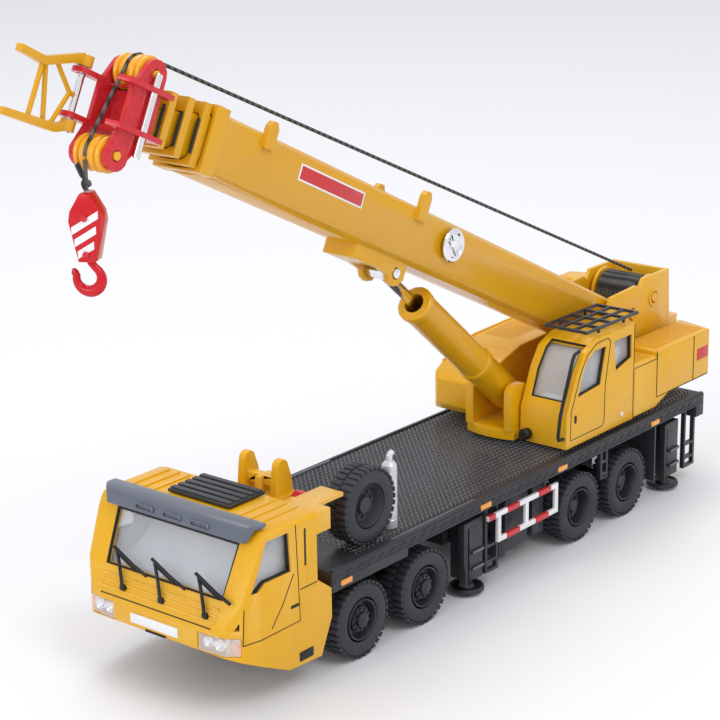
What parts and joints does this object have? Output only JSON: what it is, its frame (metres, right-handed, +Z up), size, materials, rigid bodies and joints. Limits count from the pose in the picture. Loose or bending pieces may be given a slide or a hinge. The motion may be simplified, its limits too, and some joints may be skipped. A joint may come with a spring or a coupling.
{
  "type": "toy crane truck",
  "caption": "Yellow toy crane truck with a black four-axle chassis, telescopic boom, lattice jib, winch rope and red hook block",
  "frame": {"origin": "bottom centre of the bounding box, on the ground", "axes": "+X forward, +Y to the left of the truck, +Z up"},
  "size_m": [0.2506, 0.052, 0.1576],
  "materials": {
    "yellow_paint": "glossy yellow enamel on die-cast metal",
    "black_plastic": "satin black moulded plastic",
    "tyre_rubber": "matt black moulded rubber",
    "clear_plastic": "clear moulded plastic",
    "grey_plastic": "dark grey gloss plastic",
    "white_paint": "white paint with red stripes",
    "silver_paint": "silver paint",
    "red_paint": "glossy red enamel",
    "chrome": "bright chrome plate",
    "yellow_plastic": "glossy yellow plastic",
    "rope_black": "twisted black thread"
  },
  "bodies": {
    "chassis": {"chassis_frame": "black_plastic", "cab_shell": "yellow_paint", "cab_glazing": "clear_plastic", "sun_visor": "grey_plastic", "roof_hatch": "black_plastic", "wiper_set": "black_plastic", "headlamp_left": "clear_plastic", "headlamp_right": "clear_plastic", "boom_rest": "yellow_paint", "air_tank": "red_paint", "spare_wheel": "tyre_rubber", "exhaust_stack": "silver_paint", "side_guard_left": "white_paint", "side_guard_right": "white_paint"},
    "axle_1": {"wheelset_1": "black_plastic", "tyre_1_left": "tyre_rubber", "tyre_1_right": "tyre_rubber"},
    "axle_2": {"wheelset_2": "black_plastic", "tyre_2_left": "tyre_rubber", "tyre_2_right": "tyre_rubber"},
    "axle_3": {"wheelset_3": "black_plastic", "tyre_3_left": "tyre_rubber", "tyre_3_right": "tyre_rubber"},
    "axle_4": {"wheelset_4": "black_plastic", "tyre_4_left": "tyre_rubber", "tyre_4_right": "tyre_rubber"},
    "beam_front_left": {"outrigger_beam_front_left": "black_plastic"},
    "foot_front_left": {"outrigger_foot_front_left": "black_plastic"},
    "beam_front_right": {"outrigger_beam_front_right": "black_plastic"},
    "foot_front_right": {"outrigger_foot_front_right": "black_plastic"},
    "beam_rear_left": {"outrigger_beam_rear_left": "black_plastic"},
    "foot_rear_left": {"outrigger_foot_rear_left": "black_plastic"},
    "beam_rear_right": {"outrigger_beam_rear_right": "black_plastic"},
    "foot_rear_right": {"outrigger_foot_rear_right": "black_plastic"},
    "superstructure": {"slew_platform": "yellow_paint", "operator_cab": "yellow_paint", "operator_glass": "clear_plastic", "roof_guard": "black_plastic", "grab_rail": "black_plastic", "engine_hood_left": "yellow_paint", "engine_hood_right": "yellow_paint"},
    "winch": {"winch_drum": "yellow_paint", "rope_coil": "rope_black"},
    "boom": {"boom_base": "yellow_paint", "hose_reel": "chrome", "hoist_rope": "rope_black"},
    "section_2": {"boom_section_2": "yellow_paint"},
    "section_3": {"boom_section_3": "yellow_paint"},
    "section_4": {"boom_section_4": "yellow_paint"},
    "section_5": {"boom_section_5": "yellow_paint", "boom_head": "red_paint", "head_rope": "rope_black"},
    "upper_sheave": {"upper_roller": "yellow_plastic"},
    "lower_sheave": {"lower_roller": "yellow_plastic"},
    "jib": {"jib": "yellow_paint"},
    "hanging_block": {"hook_block": "red_paint", "hook_line": "rope_black"},
    "hook": {"hook": "red_paint"},
    "lift_barrel": {"lift_barrel": "yellow_paint"},
    "lift_rod": {"lift_rod": "chrome"}
  },
  "joints": [
    {"name": "axle_1_spin", "type": "hinge", "parent": "chassis", "child": "axle_1", "pos_m": [0.04728, 0, 0.01], "axis": [0, 1, 0], "continuous": true},
    {"name": "axle_2_spin", "type": "hinge", "parent": "chassis", "child": "axle_2", "pos_m": [0.02198, 0, 0.01], "axis": [0, 1, 0], "continuous": true},
    {"name": "axle_3_spin", "type": "hinge", "parent": "chassis", "child": "axle_3", "pos_m": [-0.04862, 0, 0.01], "axis": [0, 1, 0], "continuous": true},
    {"name": "axle_4_spin", "type": "hinge", "parent": "chassis", "child": "axle_4", "pos_m": [-0.07342, 0, 0.01], "axis": [0, 1, 0], "continuous": true},
    {"name": "outrigger_front_left_slide", "type": "slide", "parent": "chassis", "child": "beam_front_left", "axis": [0, 1, 0], "range_m": [0, 0.014]},
    {"name": "jack_front_left_slide", "type": "slide", "parent": "beam_front_left", "child": "foot_front_left", "axis": [0, 0, -1], "range_m": [0, 0.006]},
    {"name": "outrigger_front_right_slide", "type": "slide", "parent": "chassis", "child": "beam_front_right", "axis": [0, -1, 0], "range_m": [0, 0.014]},
    {"name": "jack_front_right_slide", "type": "slide", "parent": "beam_front_right", "child": "foot_front_right", "axis": [0, 0, -1], "range_m": [0, 0.006]},
    {"name": "outrigger_rear_left_slide", "type": "slide", "parent": "chassis", "child": "beam_rear_left", "axis": [0, 1, 0], "range_m": [0, 0.014]},
    {"name": "jack_rear_left_slide", "type": "slide", "parent": "beam_rear_left", "child": "foot_rear_left", "axis": [0, 0, -1], "range_m": [0, 0.006]},
    {"name": "outrigger_rear_right_slide", "type": "slide", "parent": "chassis", "child": "beam_rear_right", "axis": [0, -1, 0], "range_m": [0, 0.014]},
    {"name": "jack_rear_right_slide", "type": "slide", "parent": "beam_rear_right", "child": "foot_rear_right", "axis": [0, 0, -1], "range_m": [0, 0.006]},
    {"name": "slewing", "type": "hinge", "parent": "chassis", "child": "superstructure", "pos_m": [-0.05972, 0, 0.027], "axis": [0, 0, 1], "continuous": true},
    {"name": "winch_spin", "type": "hinge", "parent": "superstructure", "child": "winch", "pos_m": [-0.11032, 0, 0.0548], "axis": [0, 1, 0], "continuous": true},
    {"name": "boom_lift", "type": "hinge", "parent": "superstructure", "child": "boom", "pos_m": [-0.09872, 0, 0.052], "axis": [0, -1, 0], "range_deg": [-7, 10]},
    {"name": "telescope_2", "type": "slide", "parent": "boom", "child": "section_2", "axis": [0.8988, 0, 0.4384], "range_m": [0, 0.1]},
    {"name": "telescope_3", "type": "slide", "parent": "section_2", "child": "section_3", "axis": [0.8988, 0, 0.4384], "range_m": [0, 0.1]},
    {"name": "telescope_4", "type": "slide", "parent": "section_3", "child": "section_4", "axis": [0.8988, 0, 0.4384], "range_m": [0, 0.1]},
    {"name": "telescope_5", "type": "slide", "parent": "section_4", "child": "section_5", "axis": [0.8988, 0, 0.4384], "range_m": [0, 0.1]},
    {"name": "upper_roller_spin", "type": "hinge", "parent": "section_5", "child": "upper_sheave", "pos_m": [0.09097, 0, 0.1483], "axis": [0, 1, 0], "continuous": true},
    {"name": "lower_roller_spin", "type": "hinge", "parent": "section_5", "child": "lower_sheave", "pos_m": [0.10392, 0, 0.1327], "axis": [0, 1, 0], "continuous": true},
    {"name": "jib_fold", "type": "hinge", "parent": "section_5", "child": "jib", "pos_m": [0.10118, -0.0064, 0.14949], "axis": [-0.4384, 0, 0.8988], "range_deg": [-120, 0]},
    {"name": "block_swing", "type": "hinge", "parent": "section_5", "child": "hanging_block", "pos_m": [0.10787, 0, 0.1327], "axis": [0, -1, 0], "range_deg": [-12, 10]},
    {"name": "hook_swivel", "type": "hinge", "parent": "hanging_block", "child": "hook", "pos_m": [0.10787, 0, 0.108], "axis": [0, 0, 1], "continuous": true},
    {"name": "lift_barrel_tilt", "type": "hinge", "parent": "superstructure", "child": "lift_barrel", "pos_m": [-0.05022, 0, 0.037], "axis": [0, -1, 0], "range_deg": [-12, 15]},
    {"name": "lift_rod_tilt", "type": "hinge", "parent": "boom", "child": "lift_rod", "pos_m": [0.00762, 0, 0.08628], "axis": [0, -1, 0], "range_deg": [-3, 4]}
  ],
  "couplings": [
    {"joint": "telescope_3", "follows": "telescope_2", "ratio": 1},
    {"joint": "telescope_4", "follows": "telescope_2", "ratio": 1},
    {"joint": "telescope_5", "follows": "telescope_2", "ratio": 1},
    {"joint": "block_swing", "follows": "boom_lift", "ratio": -1},
    {"joint": "lift_barrel_tilt", "follows": "boom_lift", "ratio": 1.37},
    {"joint": "lift_rod_tilt", "follows": "boom_lift", "ratio": 0.24}
  ]
}
